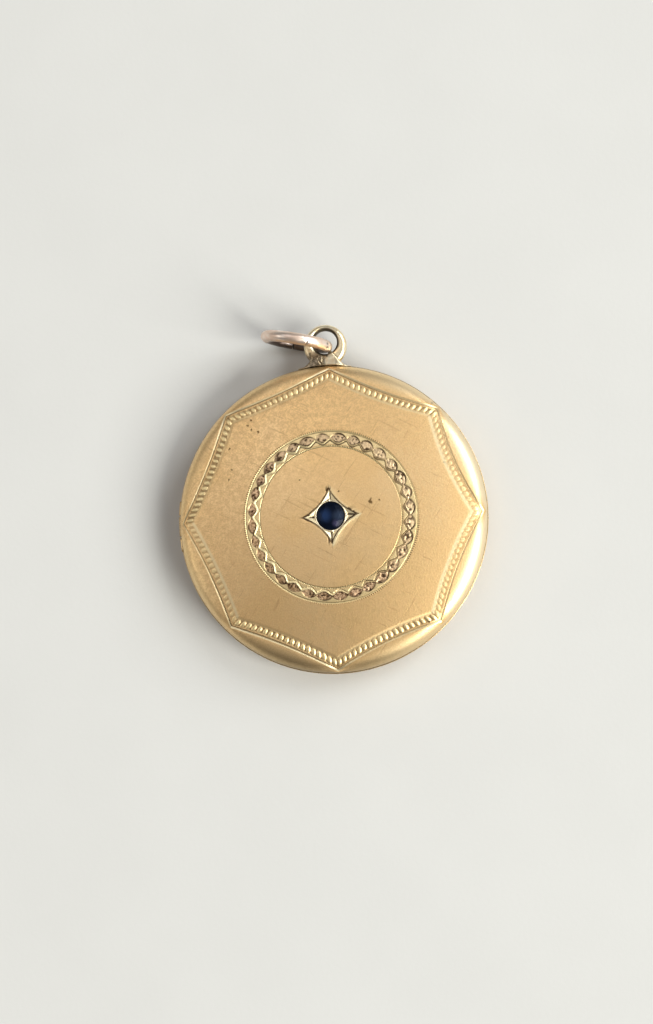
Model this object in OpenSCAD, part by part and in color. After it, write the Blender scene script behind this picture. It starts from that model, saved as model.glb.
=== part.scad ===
// Round hinged locket, lying on its flat back with its bail towards +Y.
// The origin is the centre of the flat back, and +Z points out of the engraved front.

/* [Case] */
// Diameter of the back cover, the widest part of the case
case_d = 30; // [26:0.5:38]
// Thickness of the closed case
case_h = 5.4; // [5:0.1:6.2]
// Height of the seam between the two covers
seam_z = 2.5; // [2.3:0.05:2.8]
// Gap between the closed covers
seam_gap = 0.06; // [0.04:0.01:0.12]
// How much smaller the front cover is than the back cover, on the radius
cover_step = 0.1; // [0:0.05:0.2]
// Radius of the gentle dome of both covers
dome_r = 70; // [60:1:100]
// Radius of the rounded shoulders at the edge of the covers
shoulder_r = 1.4; // [1:0.1:1.6]
// Thickness of the metal sheet
sheet_t = 0.45; // [0.35:0.05:0.6]
// Radius of the flat that the back rests on
base_r = 9; // [6:0.5:10]

/* [Snap lip] */
// Thickness of the lip that stands up inside the front cover
lip_t = 0.35; // [0.25:0.05:0.5]
// How far the lip stands above the seam
lip_h = 0.6; // [0.4:0.05:0.8]
// Gap between the lip and the wall of the front cover
lip_gap = 0.3; // [0.25:0.05:0.4]

/* [Hinge] */
// Length of the three knuckles together
hinge_len = 4.9; // [4:0.1:6]
// Length of the middle knuckle, which belongs to the front cover
middle_len = 1.9; // [1.5:0.1:2.5]
// Outer radius of the knuckles
barrel_r = 0.36; // [0.32:0.02:0.42]
// How far the filed knuckles stand out past the edge of the back cover
knuckle_proud = 0.04; // [0.02:0.01:0.06]
// Radius of the hinge pin
pin_r = 0.14; // [0.12:0.01:0.16]
// Length of the hinge pin, which ends inside the outer knuckles
pin_len = 3.4; // [3:0.1:3.8]
// Radial clearance between the pin and the knuckles
pin_gap = 0.03; // [0.02:0.01:0.05]
// Distance of the hinge axis inside the edge of the back cover
axis_inset = 0.28; // [0.2:0.02:0.3]
// Clearance round and between the knuckles
knuckle_gap = 0.14; // [0.12:0.01:0.16]

/* [Bail] */
// Outer radius of the bail's loop
loop_r = 2.09; // [1.6:0.05:2.4]
// Radius of the hole in the loop
hole_r = 1.16; // [0.9:0.02:1.3]
// Distance of the loop's centre from the case's centre
loop_y = 16.92; // [16.8:0.02:17.2]
// How far the hole's centre lies above the loop's centre
hole_rise = 0.37; // [0:0.01:0.4]
// Thickness of the bail
bail_t = 1.2; // [0.9:0.05:1.4]
// Width of the saddle where it is soldered to the rim
saddle_w = 5.2; // [5:0.1:5.6]
// Width of the neck where it runs into the loop
neck_w = 2.44; // [2.2:0.02:2.6]
// Radius of the concave sides of the neck
neck_r = 1.33; // [1.2:0.01:1.4]
// How far beyond the rim the concave sides are centred
neck_rise = 1.2; // [1.15:0.01:1.25]
// Sideways place of the neck, which is soldered a little off the middle
neck_x = -0.14; // [-0.2:0.01:0.2]

/* [Jump ring] */
// Outer diameter of the jump ring
ring_d = 7.05; // [6:0.05:8]
// Diameter of its wire
wire_d = 1.1; // [0.8:0.05:1.2]
// Sideways place of the ring's centre
ring_x = -2.7; // [-3:0.05:-2.5]
// Place of the ring's centre along the case's length
ring_y = 17.39; // [17.3:0.01:17.45]
// Turn of the standing ring about the vertical
ring_turn = -12.5; // [-14:0.1:-6]
// Lean of the standing ring, with its top towards the case
ring_lean = 3.5; // [0:0.1:4]
// Width of the cut where the ends of the wire meet
cut_w = 0.08; // [0.04:0.01:0.2]
// Place of the cut round the ring
cut_angle = -103; // [-140:1:-60]

/* [Stone and star] */
// Diameter of the stone
stone_d = 2.7; // [2.2:0.1:3]
// Height of the stone above its girdle
crown_h = 0.36; // [0.3:0.02:0.5]
// Depth of the stone below its girdle
pavilion_h = 0.95; // [0.8:0.05:1.1]
// Width of the table as a share of the stone's diameter
table_share = 0.6; // [0.5:0.01:0.7]
// Distance from the centre to a tip of the star
star_tip = 2.6; // [2.2:0.1:3]
// Distance from the centre to the star's concave sides
star_waist = 1.5; // [1.45:0.01:1.6]
// Depth of the star cut
star_depth = 0.2; // [0.1:0.02:0.3]
// Turn of the star about the vertical
star_turn = 1.4; // [-5:0.1:5]
// Radius of the grains that hold the stone
grain_r = 0.2; // [0.15:0.01:0.22]

/* [Engraving] */
// Radius of the eight corners of the border
border_r = 14.35; // [13.5:0.05:14.5]
// Number of corners of the border
border_corners = 8; // [6:1:10]
// How far the sides of the border bend inwards
border_bend = 0.26; // [0.1:0.02:0.5]
// Turn of the border about the vertical
border_turn = -0.8; // [-5:0.1:5]
// Radius of the outer line of the circular band
band_outer_r = 8.35; // [7.5:0.05:9]
// Radius of the inner line of the circular band
band_inner_r = 6.9; // [6:0.05:7.2]
// Width of an engraved line
line_w = 0.2; // [0.1:0.02:0.3]
// Depth of an engraved line
line_depth = 0.06; // [0.03:0.01:0.1]

/* [Hidden] */
$fn = 96;

case_r = case_d / 2;
cover_r = case_r - cover_step;
back_top = seam_z - seam_gap / 2;
cover_bottom = seam_z + seam_gap / 2;
lip_outer_r = cover_r - sheet_t - lip_gap;
lip_inner_r = lip_outer_r - lip_t;

hinge_x = axis_inset - case_r;
slot_r = barrel_r + knuckle_gap;
bore_r = pin_r + pin_gap;
bore_len = pin_len + knuckle_gap;
file_r = case_r + knuckle_proud;

// Place along Y past which the front cover's edge lies inside the hinge axis
slot_end = max(hinge_len / 2, sqrt(cover_r * cover_r - hinge_x * hinge_x)) + knuckle_gap;

hole_y = loop_y + hole_rise;
neck_clear = 0.04;
neck_clear_r = case_r + neck_clear;
neck_root_r = case_r - sheet_t / 2;
loop_round = 0.4;
hole_round = 0.3;

ring_path_r = (ring_d - wire_d) / 2;
ring_z = ring_path_r * cos(ring_lean) + wire_d / 2;

stone_r = stone_d / 2;
girdle_t = 0.06;
girdle_z = case_h - star_depth - girdle_t;
seat_gap = 0.03;
cup_wall = 0.4;
cup_r = stone_r + cup_wall;
cup_floor = 0.3;
cup_bottom = girdle_z - pavilion_h - cup_floor;
grain_offset = 0.17;
grain_dist = stone_r + grain_offset;
grain_sides = 24;
tip_share = 0.06;
tip_h = 0.06;
table_sides = 8;
girdle_sides = 16;

dome_steps = 10;
shoulder_steps = 8;
over = 1;

// Points of an arc round centre c, from angle a0 to angle a1
function arc(c, r, a0, a1, steps) = [
    for (i = [0:steps])
        let (a = a0 + (a1 - a0) * i / steps)
            c + r * [cos(a), sin(a)]
];

// The same points in the opposite order
function backwards(pts) = [for (i = [len(pts) - 1:-1:0]) pts[i]];

// Angle at which a cover's dome runs into its shoulder
function join_angle(edge_r) = asin((edge_r - shoulder_r) / (dome_r - shoulder_r));

// How far the centre of the shoulder lies below the top of the dome
function shoulder_drop(edge_r) = dome_r - (dome_r - shoulder_r) * cos(join_angle(edge_r));

// Outline of a domed cover, moved inwards by inset, from the axis to the edge
function cover_curve(edge_r, top, inset) =
    let (
        turn = 90 - join_angle(edge_r),
        shoulder = [edge_r - shoulder_r, top - shoulder_drop(edge_r)]
    )
    concat(
        arc([0, top - dome_r], dome_r - inset, 90, turn, dome_steps),
        arc(shoulder, shoulder_r - inset, turn, 0, shoulder_steps)
    );

// Height that the back's dome would reach below the flat it rests on
base_sag = dome_r - sqrt(dome_r * dome_r - base_r * base_r);

// Height where the back's shoulder ends in its straight wall, and of the ledge's lower face
back_wall_z = shoulder_drop(case_r) - base_sag;

// Angle at which the back's flat runs into its dome, on the surface moved inwards by inset
function flat_angle(inset) = acos((dome_r - base_sag - inset) / (dome_r - inset));

// Outline of the back cover, moved inwards by inset, from the axis to the edge
function back_curve(inset) =
    let (turn = join_angle(case_r) - 90)
    concat(
        [[0, inset]],
        arc([0, dome_r - base_sag], dome_r - inset, flat_angle(inset) - 90, turn, dome_steps),
        arc([case_r - shoulder_r, back_wall_z], shoulder_r - inset, turn, 0, shoulder_steps)
    );

// A round bar along Y on the hinge axis, between two places along Y
module hinge_bar(r, y0, y1) {
    translate([hinge_x, y0, seam_z])
        rotate([-90, 0, 0])
            cylinder(r = r, h = y1 - y0);
}

// Two bars on the hinge axis, one on each side of the middle, between two distances from it
module bar_pair(r, inner_y, outer_y) {
    hinge_bar(r, inner_y, outer_y);
    hinge_bar(r, -outer_y, -inner_y);
}

// Round limit that the knuckles are filed back to
module file_limit() {
    cylinder(r = file_r, h = case_h);
}

// Hollow shell of the back cover, with the ledge and lip that the front cover snaps over
module back_shell() {
    rotate_extrude()
        polygon(concat(
            back_curve(0),
            [[case_r, back_top], [lip_outer_r, back_top], [lip_outer_r, seam_z + lip_h]],
            [[lip_inner_r, seam_z + lip_h], [lip_inner_r, back_wall_z]],
            backwards(back_curve(sheet_t))
        ));
}

// Outline of the bail's neck, with concave sides that flare to the saddle
module neck_outline() {
    foot_y = sqrt(case_r * case_r - saddle_w * saddle_w / 4) - sheet_t;
    side_y = case_r + neck_rise;
    translate([neck_x, 0])
        difference() {
            translate([-saddle_w / 2, foot_y])
                square([saddle_w, side_y - foot_y]);
            for (side = [-1, 1])
                translate([side * (neck_w / 2 + neck_r), side_y])
                    circle(r = neck_r);
        }
}

// Neck and saddle, as thick as the loop
module neck() {
    translate([0, 0, seam_z - bail_t / 2])
        linear_extrude(bail_t)
            neck_outline();
}

// Loop with a rounded outer edge
module loop_body() {
    half_t = bail_t / 2;
    translate([0, loop_y, seam_z])
        rotate_extrude()
            polygon(concat(
                [[0, half_t]],
                arc([loop_r - loop_round, half_t - loop_round], loop_round, 90, 0, shoulder_steps),
                arc([loop_r - loop_round, loop_round - half_t], loop_round, 0, -90, shoulder_steps),
                [[0, -half_t]]
            ));
}

// Tool that cuts the loop's hole with rounded rims
module loop_hole() {
    half_t = bail_t / 2;
    translate([0, hole_y, seam_z])
        rotate_extrude()
            polygon(concat(
                [[0, half_t + over], [hole_r + hole_round, half_t + over]],
                arc([hole_r + hole_round, half_t - hole_round], hole_round, 90, 180, shoulder_steps),
                arc([hole_r + hole_round, hole_round - half_t], hole_round, 180, 270, shoulder_steps),
                [[hole_r + hole_round, -half_t - over], [0, -half_t - over]]
            ));
}

// Bail, soldered to the rim of the back cover
module bail() {
    difference() {
        union() {
            loop_body();
            neck();
        }
        loop_hole();
        translate([0, 0, back_top])
            cylinder(r = neck_clear_r, h = case_h);
        translate([0, 0, -over])
            cylinder(r = neck_root_r, h = case_h + over);
    }
}

module back_cover() {
    color("goldenrod")
        difference() {
            union() {
                difference() {
                    back_shell();
                    hinge_bar(slot_r, -middle_len / 2 - knuckle_gap, middle_len / 2 + knuckle_gap);
                }
                intersection() {
                    bar_pair(barrel_r, middle_len / 2 + knuckle_gap, hinge_len / 2);
                    file_limit();
                }
                bail();
            }
            hinge_bar(bore_r, -bore_len / 2, bore_len / 2);
        }
}

// Domed sheet of the front cover
module cover_shell() {
    rotate_extrude()
        polygon(concat(
            cover_curve(cover_r, case_h, 0),
            [[cover_r, cover_bottom], [cover_r - sheet_t, cover_bottom]],
            backwards(cover_curve(cover_r, case_h, sheet_t))
        ));
}

// Cup behind the sheet that holds the stone's lower half
module stone_cup() {
    translate([0, 0, cup_bottom])
        cylinder(r = cup_r, h = case_h - sheet_t / 2 - cup_bottom);
}

// Room for the stone: a bore down to the girdle and a cone below it
module stone_seat() {
    seat_r = stone_r + seat_gap;
    translate([0, 0, girdle_z])
        cylinder(r = seat_r, h = case_h);
    translate([0, 0, girdle_z - pavilion_h - seat_gap])
        cylinder(r1 = seat_gap, r2 = seat_r, h = pavilion_h + seat_gap);
}

// Four pointed star with concave sides
module star_outline() {
    side_r = (star_tip * star_tip + star_waist * star_waist - sqrt(2) * star_tip * star_waist)
        / (sqrt(2) * star_tip - 2 * star_waist);
    difference() {
        circle(r = star_tip, $fn = 4);
        for (i = [0:3])
            rotate(45 + 90 * i)
                translate([star_waist + side_r, 0])
                    circle(r = side_r);
    }
}

// Star cut, with a grain of metal left at the foot of each arm
module star_cut() {
    rotate(star_turn)
        difference() {
            translate([0, 0, case_h - star_depth])
                linear_extrude(over)
                    star_outline();
            for (i = [0:3])
                rotate(90 * i)
                    translate([grain_dist, 0, case_h - star_depth])
                        sphere(r = grain_r, $fn = grain_sides);
        }
}

// Outline of the border: a disc bitten by one large circle at each side
module border_outline(corner_r) {
    half_step = 180 / border_corners;
    half_chord = border_r * sin(half_step);
    side_r = (half_chord * half_chord + border_bend * border_bend) / (2 * border_bend);
    difference() {
        circle(r = corner_r + over);
        for (i = [0:border_corners - 1])
            rotate(border_turn + 90 + half_step * (2 * i + 1))
                translate([corner_r * cos(half_step) - border_bend + side_r, 0])
                    circle(r = side_r);
    }
}

// Skin of the front cover, as deep as an engraved line
module engraved_skin() {
    rotate_extrude()
        polygon(concat(
            cover_curve(cover_r, case_h, -over),
            backwards(cover_curve(cover_r, case_h, line_depth))
        ));
}

// Lines of the border and of the circular band
module engraved_lines() {
    intersection() {
        engraved_skin();
        translate([0, 0, seam_z + over])
            linear_extrude(case_h) {
                difference() {
                    border_outline(border_r);
                    border_outline(border_r - line_w);
                }
                for (r = [band_outer_r, band_inner_r])
                    difference() {
                        circle(r = r + line_w / 2);
                        circle(r = r - line_w / 2);
                    }
            }
    }
}

module front_cover() {
    color("gold")
        difference() {
            union() {
                difference() {
                    cover_shell();
                    bar_pair(slot_r, middle_len / 2, slot_end);
                }
                intersection() {
                    hinge_bar(barrel_r, -middle_len / 2, middle_len / 2);
                    file_limit();
                }
                stone_cup();
            }
            hinge_bar(bore_r, -bore_len / 2, bore_len / 2);
            stone_seat();
            star_cut();
            engraved_lines();
        }
}

// Thin many sided plate that marks one level of the stone
module facet_plate(r, z, t, count, turn) {
    translate([0, 0, z])
        rotate(turn)
            cylinder(r = r, h = t, $fn = count);
}

// Round stone with a flat table, a crown of sixteen facets and a faceted point below
module stone() {
    plate_t = 0.01;
    color("midnightblue")
        hull() {
            facet_plate(stone_r * table_share, girdle_z + crown_h - plate_t, plate_t, table_sides, 0);
            facet_plate(stone_r, girdle_z, girdle_t, girdle_sides, 180 / girdle_sides);
            facet_plate(stone_r * tip_share, girdle_z - pavilion_h + tip_h, plate_t, table_sides, 0);
        }
}

module hinge_pin() {
    color("darkgoldenrod")
        hinge_bar(pin_r, -pin_len / 2, pin_len / 2);
}

module jump_ring() {
    color("rosybrown")
        translate([ring_x, ring_y, ring_z])
            rotate([90 + ring_lean, 0, ring_turn])
                difference() {
                    rotate_extrude()
                        translate([ring_path_r, 0])
                            circle(d = wire_d);
                    rotate(cut_angle)
                        translate([ring_path_r, 0, 0])
                            cube([2 * wire_d, cut_w, 2 * wire_d], center = true);
                }
}

back_cover();
front_cover();
stone();
hinge_pin();
jump_ring();
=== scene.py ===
import math
import bpy
import numpy as np
from mathutils import Matrix, Vector


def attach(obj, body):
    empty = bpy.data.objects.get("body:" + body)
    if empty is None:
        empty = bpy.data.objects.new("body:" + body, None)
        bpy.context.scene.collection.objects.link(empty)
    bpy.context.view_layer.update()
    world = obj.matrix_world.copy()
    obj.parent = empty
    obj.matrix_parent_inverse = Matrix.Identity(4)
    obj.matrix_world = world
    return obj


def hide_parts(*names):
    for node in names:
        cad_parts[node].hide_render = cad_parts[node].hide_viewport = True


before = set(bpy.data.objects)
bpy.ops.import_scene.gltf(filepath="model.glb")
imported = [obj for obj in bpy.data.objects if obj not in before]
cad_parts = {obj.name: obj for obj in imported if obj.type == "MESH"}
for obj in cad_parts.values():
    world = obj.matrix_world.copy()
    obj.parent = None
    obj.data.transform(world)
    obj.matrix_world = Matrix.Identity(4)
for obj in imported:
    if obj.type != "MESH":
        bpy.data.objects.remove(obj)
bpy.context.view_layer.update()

MM = 0.001
TAU = 2 * math.pi

# Sizes of the part's solids, in millimetres
CASE_R = 15.0
COVER_R = 14.9
CASE_H = 5.4
SEAM_Z = 2.5
COVER_BOTTOM = 2.53
BACK_TOP = 2.47
DOME_R = 70.0
SHOULDER_R = 1.4
SHEET_T = 0.45
BASE_R = 9.0
LIP_OUT_R = 14.15
LIP_IN_R = 13.8
LIP_TOP = 3.1
HINGE_X = -14.72
HINGE_LEN = 4.9
MIDDLE_LEN = 1.9
BARREL_R = 0.36
BORE_R = 0.17
SLOT_R = 0.5
SLOT_END = 2.59
KNUCKLE_GAP = 0.14
FILE_R = 15.04
GIRDLE_Z = 5.14
STONE_TIP_Z = 4.19
SEAT_R = 1.38
CUP_R = 1.75
CUP_BOTTOM = 3.89

# The star round the stone
STAR_TURN = math.radians(1.4)
STAR_TIP = 2.6
STAR_WAIST = 1.5

# The border of eight sides that bend inwards, whose hand cut corners are a little uneven
BORDER_R = 14.35
BORDER_TURN = math.radians(-0.8)
SIDES = 8
CORNER_OUT = (0.05, 0.15, 0.0, -0.07, 0.03, -0.2, 0.17, -0.04)
CORNER_TURN = np.radians((0.2, -0.8, -0.6, -0.8, 0.1, 0.2, 0.3, -0.6))
BEADS = 19
# How far each side bends inwards and how deeply it is cut, from the one above +X onwards. Sides cut less
# deeply get more painted sheen and highlight on their groove.
SIDE_BEND = np.array((0.54, 0.4, 0.25, 0.28, 0.32, 0.27, 0.36, 0.4))
SIDE_PRESS = (0.32, 0.75, 0.9, 1.0, 0.4, 1.0, 0.85, 0.28)

# The circular band between two notched lines, each drawn a little off centre
BAND_INNER_R = 6.88
BAND_INNER_DRIFT = (0.07, math.radians(270))
BAND_OUTER_R = 8.31
BAND_OUTER_DRIFT = (0.06, math.radians(-45))
LINE_W = 0.15
NOTCHES = 256
LEAVES = 32
LEAF_START = math.radians(93.8)
WAVE_R = 7.50
WAVE_REACH = 0.40
LEAF_TOP_R = 7.63
LEAF_REACH = 0.42

# Depths and widths of the engraver's cuts
WALL_W = 0.022
STAR_DEPTH = 0.22
RIM_R = 1.44
RIM_DEPTH = 0.05
LINE_DEPTH = 0.08
NOTCH_DEPTH = 0.03
BORDER_LINE_OUT = 0.10
BORDER_LINE_DEPTH = 0.11
BEAD_IN = 0.40
BEAD_HEIGHT = 0.085
GROOVE_IN = 0.80

# Columns of points round the front, twice as many from part to part
PLAIN_COLS = 192
FINE_COLS = 2 * PLAIN_COLS
BAND_COLS = 2 * FINE_COLS
BORDER_COLS = 2 * BAND_COLS

# How far small edges are rounded
EDGE = 0.05

# The bail's loop, its hole and the flare of its neck, in plan
LOOP_Y = 16.92
LOOP_R = 2.09
HOLE_Y = 17.29
HOLE_R = 1.16
BAIL_HALF = 0.6
FLARE_X = 2.55
FLARE_Y = 16.2
FLARE_R = 1.33

# The jump ring, which stands on the surface and leans on the bail
RING_R = 2.975
WIRE_R = 0.55
RING_TURN = math.radians(-12.5)
RING_LEAN = math.radians(3.5)
RING_SPOT = (-2.7, 17.39)
RING_CUT = math.radians(-103)
RING_GAP = 0.09


def smooth(t):
    """Eases a value from 0 to 1 with level ends."""
    t = np.clip(t, 0, 1)
    return t * t * (3 - 2 * t)


def bell(x, half):
    """1 at 0, falling away on both sides, about a third at half."""
    return np.exp(-(x / half) ** 2)


def near_angle(phi, degrees, half):
    """1 at an angle given in degrees, falling away on both sides."""
    away = (phi - math.radians(degrees) + math.pi) % TAU - math.pi
    return bell(away, math.radians(half))


def ripple(phi, seed, orders):
    """Smooth random values from 0 to 1 round a circle."""
    draw = np.random.default_rng(seed)
    total = np.zeros_like(phi)
    for k in orders:
        total = total + draw.uniform(0.4, 1) * np.cos(k * phi + draw.uniform(0, TAU))
    return np.clip(0.5 + 0.5 * total / math.sqrt(len(orders)), 0, 1)


def rod(p, a, b):
    """Distance to the line between two points."""
    a, b = np.array(a, float), np.array(b, float)
    d = b - a
    t = np.clip(((p - a) @ d) / (d @ d), 0, 1)
    return np.linalg.norm(p - a - t[..., None] * d, axis=-1)


def build(name, verts, faces, finish_and_light=None, shade=True):
    """A mesh object from points in millimetres and groups of faces with the same number of corners."""
    mesh = bpy.data.meshes.new(name)
    verts = np.asarray(verts, float)
    groups = [np.asarray(f, np.int32) for f in faces if len(f)]
    loops = np.concatenate([g.ravel() for g in groups])
    sizes = np.concatenate([np.full(len(g), g.shape[1], np.int32) for g in groups])
    starts = np.concatenate([[0], np.cumsum(sizes)[:-1]]).astype(np.int32)
    mesh.vertices.add(len(verts))
    mesh.vertices.foreach_set("co", (verts * MM).ravel())
    mesh.loops.add(len(loops))
    mesh.loops.foreach_set("vertex_index", loops)
    mesh.polygons.add(len(sizes))
    mesh.polygons.foreach_set("loop_start", starts)
    mesh.update(calc_edges=True)
    mesh.validate()
    mesh.polygons.foreach_set("use_smooth", np.full(len(mesh.polygons), shade))
    if finish_and_light is not None:
        layer = mesh.color_attributes.new("finish_and_light", "FLOAT_COLOR", "POINT")
        layer.data.foreach_set("color", np.clip(finish_and_light, 0, 1).astype(float).ravel())
    mesh.update()
    obj = bpy.data.objects.new(name, mesh)
    bpy.context.scene.collection.objects.link(obj)
    return obj


class Lathe:
    """Rows of points round the Z axis, stitched into one closed skin from one pole to the other.

    Each row has as many points as the last one, or twice or half as many. A finish and light mark is
    four values:
    painted sheen, dirt and painted shade, the worn leaf on the front and darkening on other parts, and
    painted highlight.
    """

    def __init__(self):
        self.rows = []
        self.marks = []

    def pole(self, z):
        self.rows.append(np.array([[0.0, 0.0, z]]))
        self.marks.append(np.zeros((1, 4)))

    def row(self, phi, r, z, finish_and_light=(0, 0, 0, 0)):
        n = len(phi)
        r = np.broadcast_to(r, (n,))
        z = np.broadcast_to(z, (n,))
        self.rows.append(np.stack([r * np.cos(phi), r * np.sin(phi), z], 1))
        self.marks.append(np.stack([np.broadcast_to(f, (n,)) for f in finish_and_light], 1))

    def faces(self):
        quads, tris = [], []
        ib = 0
        for a, b in zip(self.rows, self.rows[1:]):
            na, nb = len(a), len(b)
            ia, ib = ib, ib + na
            j = np.arange(min(na, nb) if min(na, nb) > 1 else max(na, nb))
            k = (j + 1) % len(j)
            if na == 1:
                groups = [(np.full(nb, ia), ib + j, ib + k)]
            elif nb == 1:
                groups = [(ia + j, np.full(na, ib), ia + k)]
            elif na == nb:
                groups = [(ia + j, ib + j, ib + k, ia + k)]
            elif nb == 2 * na:
                f0, f1, f2 = ib + 2 * j, ib + 2 * j + 1, ib + (2 * j + 2) % nb
                groups = [(ia + j, f0, f1), (ia + j, f1, ia + k), (ia + k, f1, f2)]
            else:
                f0, f1, f2 = ia + 2 * j, ia + 2 * j + 1, ia + (2 * j + 2) % na
                groups = [(f0, ib + j, f1), (f1, ib + j, ib + k), (f1, ib + k, f2)]
            (quads if na == nb else tris).extend(np.stack(g, 1) for g in groups)
        return quads + tris

    def build(self, name):
        return build(name, np.concatenate(self.rows), self.faces(), np.concatenate(self.marks))


# Outline of the front cover: a dome, a round shoulder and a short straight wall
JOIN = math.asin((COVER_R - SHOULDER_R) / (DOME_R - SHOULDER_R))
SHOULDER_X = COVER_R - SHOULDER_R
SHOULDER_Z = CASE_H - DOME_R + (DOME_R - SHOULDER_R) * math.cos(JOIN)
S_JOIN = DOME_R * JOIN
S_SIDE = S_JOIN + SHOULDER_R * (math.pi / 2 - JOIN)


def along(r):
    """Length along the front's outline from the middle out to radius r."""
    r = np.asarray(r, float)
    on_dome = DOME_R * np.arcsin(np.clip(r / DOME_R, 0, math.sin(JOIN)))
    b = np.arcsin(np.clip((r - SHOULDER_X) / SHOULDER_R, -1, 1))
    return np.where(on_dome < S_JOIN - 1e-9, on_dome, S_JOIN + SHOULDER_R * (b - JOIN))


def outline(s):
    """Radius, height and outward direction of the front's outline at length s."""
    a = s / DOME_R
    b = JOIN + (s - S_JOIN) / SHOULDER_R
    dome = s < S_JOIN
    wall = s > S_SIDE
    r = np.where(dome, DOME_R * np.sin(a), np.where(wall, COVER_R, SHOULDER_X + SHOULDER_R * np.sin(b)))
    z = np.where(dome, CASE_H - DOME_R + DOME_R * np.cos(a), SHOULDER_Z + SHOULDER_R * np.cos(b))
    z = np.where(wall, SHOULDER_Z - (s - S_SIDE), z)
    nr = np.where(dome, np.sin(a), np.where(wall, 1.0, np.sin(b)))
    nz = np.where(dome, np.cos(a), np.where(wall, 0.0, np.cos(b)))
    return r, z, nr, nz


def skin_row(lathe, phi, s, h=0.0, finish_and_light=(0, 0, 0, 0)):
    """A row on the front's skin at length s along its outline, raised by h."""
    r, z, nr, nz = outline(np.broadcast_to(np.asarray(s, float), phi.shape))
    lathe.row(phi, r + h * nr, z + h * nz, finish_and_light)


def slot_lift(phi, r, low, high):
    """How far a knuckle's slot reaches past the seam's middle at radius r, or 0 away from the hinge."""
    x, y = r * np.cos(phi), r * np.sin(phi)
    reach = SLOT_R ** 2 - (x - HINGE_X) ** 2
    cut = (x < 0) & (np.abs(y) >= low) & (np.abs(y) < high) & (reach > 0)
    return np.where(cut, np.sqrt(np.clip(reach, 0, None)), 0)


def front_seam(phi, r):
    """Height of the front cover's lower edge, cleared for the two outer knuckles."""
    return np.maximum(SEAM_Z + slot_lift(phi, r, MIDDLE_LEN / 2, SLOT_END), COVER_BOTTOM)


def back_seam(phi, r):
    """Height of the back cover's upper edge, cleared for the middle knuckle."""
    return np.minimum(SEAM_Z - slot_lift(phi, r, 0, MIDDLE_LEN / 2 + KNUCKLE_GAP), BACK_TOP)


def grid(n, twist=0.0, uneven=0.0):
    """Angles of n columns, one at each corner of the border, following its uneven corners if asked."""
    phi = TAU * np.arange(n) / n
    corners = TAU * np.arange(SIDES) / SIDES
    return BORDER_TURN + twist + phi + uneven * np.interp(phi, corners, CORNER_TURN, period=TAU)


# Radius of the star's concave sides, and how far out their centres are
STAR_ARC = (STAR_TIP ** 2 + STAR_WAIST ** 2 - math.sqrt(2) * STAR_TIP * STAR_WAIST) / (
    math.sqrt(2) * STAR_TIP - 2 * STAR_WAIST)
STAR_FAR = STAR_WAIST + STAR_ARC


def star_edge(phi):
    """Radius of the star's outline."""
    psi = np.abs((phi - STAR_TURN) % (TAU / 4) - TAU / 8)
    return STAR_FAR * np.cos(psi) - np.sqrt(STAR_ARC ** 2 - (STAR_FAR * np.sin(psi)) ** 2)


def star_inside(x, y):
    """Distance inside the nearest concave side of the star."""
    best = np.full(x.shape, 1e9)
    for i in range(4):
        a = STAR_TURN + TAU / 8 + i * TAU / 4
        far = np.hypot(x - STAR_FAR * math.cos(a), y - STAR_FAR * math.sin(a))
        best = np.minimum(best, far - STAR_ARC)
    return best


# Grains round the stone: arm, distance from the middle, shift across the arm and size
GRAINS = ((0, 1.52, -0.12, 0.12), (0, 1.5, 0.1, 0.12), (1, 1.5, 0.05, 0.14), (2, 1.45, 0.0, 0.11),
          (3, 1.46, 0.07, 0.17))

# Dark strokes of the graver: arm, place along and across it at each end, and half width
STAR_STROKES = (
    (0, (1.66, 0.06), (2.25, -0.02), 0.08), (0, (2.2, 0.27), (2.42, 0.03), 0.08),
    (0, (2.42, 0.03), (2.15, -0.17), 0.08), (0, (1.72, 0.6), (1.98, 0.47), 0.09),
    (0, (1.8, -0.33), (2.08, -0.27), 0.07), (1, (1.62, -0.07), (2.2, -0.1), 0.05),
    (1, (2.4, 0.23), (2.62, 0.09), 0.07), (1, (2.62, 0.09), (2.6, -0.12), 0.07),
    (2, (1.58, 0.0), (1.74, 0.0), 0.11), (2, (1.74, 0.0), (2.02, 0.0), 0.06),
    (2, (2.05, -0.2), (2.55, -0.1), 0.06), (2, (1.85, 0.46), (2.2, 0.29), 0.07),
    (2, (2.2, 0.29), (2.52, 0.1), 0.08), (3, (1.62, -0.03), (2.56, -0.02), 0.08),
    (3, (1.8, -0.44), (2.45, -0.27), 0.06),
)
# Dark outline on each side from the upper right one onwards: place inside the edge, half width, strength
STAR_LINES = ((-0.01, 0.06, 0.8), (-0.04, 0.08, 0.95), (-0.04, 0.08, 0.85), (0.05, 0.055, 0.9))


def on_arm(x, y, arm):
    """Place along and across an arm of the star."""
    a = STAR_TURN + arm * TAU / 4
    return np.stack([x * math.cos(a) + y * math.sin(a), y * math.cos(a) - x * math.sin(a)], -1)


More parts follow.
